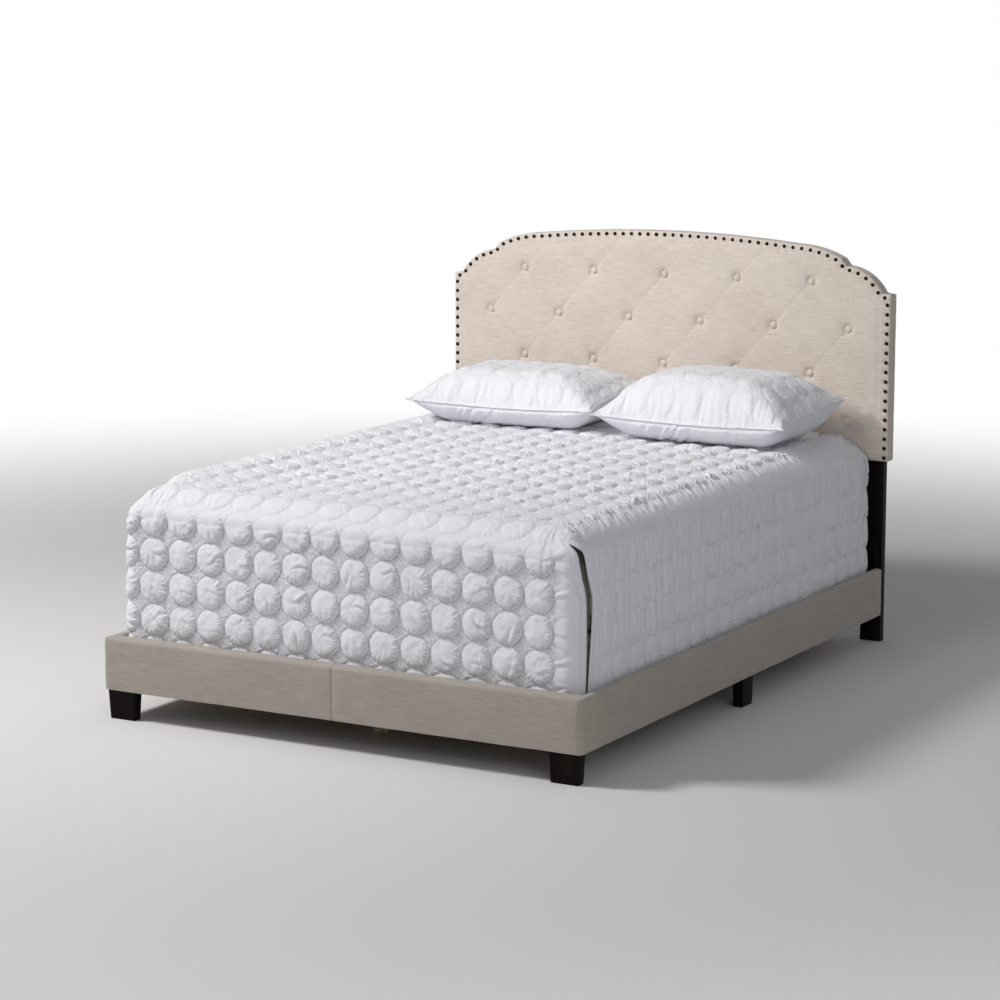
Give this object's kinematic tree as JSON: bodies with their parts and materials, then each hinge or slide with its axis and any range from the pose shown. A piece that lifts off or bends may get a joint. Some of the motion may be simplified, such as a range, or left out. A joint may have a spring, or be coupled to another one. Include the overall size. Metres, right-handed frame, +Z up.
{
  "type": "upholstered bed",
  "caption": "Upholstered panel bed with a tufted, nail-trimmed arched headboard and low padded rails, made up with a quilted coverlet and two pillows.",
  "frame": {"origin": "on the floor under the middle of the bed", "axes": "+X to the right seen from the foot, +Y from the foot to the headboard, +Z up"},
  "size_m": [1.64, 2.1596, 1.332],
  "materials": {
    "linen": "matte",
    "foam": "matte",
    "plywood": "matte",
    "pine": "matte",
    "espresso_wood": "satin",
    "steel": "satin",
    "bronze_nail": "satin",
    "backing_cloth": "matte",
    "ticking": "matte",
    "edge_tape": "matte",
    "quilted_cotton": "matte",
    "pillow_fill": "matte"
  },
  "bodies": {
    "bed_frame": {"centre_legs": "pine", "corner_brackets": "steel", "foot_studs": "steel", "footboard_board_left": "pine", "footboard_board_right": "pine", "footboard_cover_left": "linen", "footboard_cover_right": "linen", "footboard_foams": "foam", "footboard_join_plate": "steel", "frame_bolts": "steel", "front_foot_left": "espresso_wood", "front_foot_right": "espresso_wood", "head_leg_left": "espresso_wood", "head_leg_right": "espresso_wood", "headboard_arch_rail": "pine", "headboard_back_cloth": "backing_cloth", "headboard_bottom_rail": "pine", "headboard_buttons": "linen", "headboard_cover": "linen", "headboard_foam": "foam", "headboard_mid_rail": "pine", "headboard_nails": "bronze_nail", "headboard_panel": "plywood", "headboard_stile_left": "pine", "headboard_stile_right": "pine", "leg_bolts": "steel", "leg_tee_nuts": "steel", "leg_washers": "steel", "mid_foot_left": "espresso_wood", "mid_foot_right": "espresso_wood", "side_join_plate_left": "steel", "side_join_plate_right": "steel", "side_rail_board_left_front": "pine", "side_rail_board_left_rear": "pine", "side_rail_board_right_front": "pine", "side_rail_board_right_rear": "pine", "side_rail_cover_left_front": "linen", "side_rail_cover_left_rear": "linen", "side_rail_cover_right_front": "linen", "side_rail_cover_right_rear": "linen", "side_rail_foams": "foam", "slat_1": "pine", "slat_2": "pine", "slat_3": "pine", "slat_4": "pine", "slat_ledgers": "pine", "slat_screws": "steel"},
    "box_spring": {"box_spring_boards": "pine", "box_spring_cover": "ticking", "box_spring_dust_cloth": "backing_cloth", "box_spring_frame": "pine"},
    "mattress": {"coverlet": "quilted_cotton", "mattress_core": "foam", "mattress_cover": "ticking", "mattress_edge_tapes": "edge_tape"},
    "left_pillow": {"pillow_left": "pillow_fill", "sham_left": "quilted_cotton"},
    "right_pillow": {"pillow_right": "pillow_fill", "sham_right": "quilted_cotton"}
  },
  "joints": [
    {"name": "box_spring_lift", "type": "slide", "parent": "bed_frame", "child": "box_spring", "axis": [0, 0, 1], "range_m": [0, 1.2]},
    {"name": "mattress_lift", "type": "slide", "parent": "box_spring", "child": "mattress", "axis": [0, 0, 1], "range_m": [0, 1.15]},
    {"name": "pillow_left_lift", "type": "slide", "parent": "mattress", "child": "left_pillow", "axis": [0, 0, 1], "range_m": [0, 0.68]},
    {"name": "pillow_right_lift", "type": "slide", "parent": "mattress", "child": "right_pillow", "axis": [0, 0, 1], "range_m": [0, 0.68]}
  ]
}
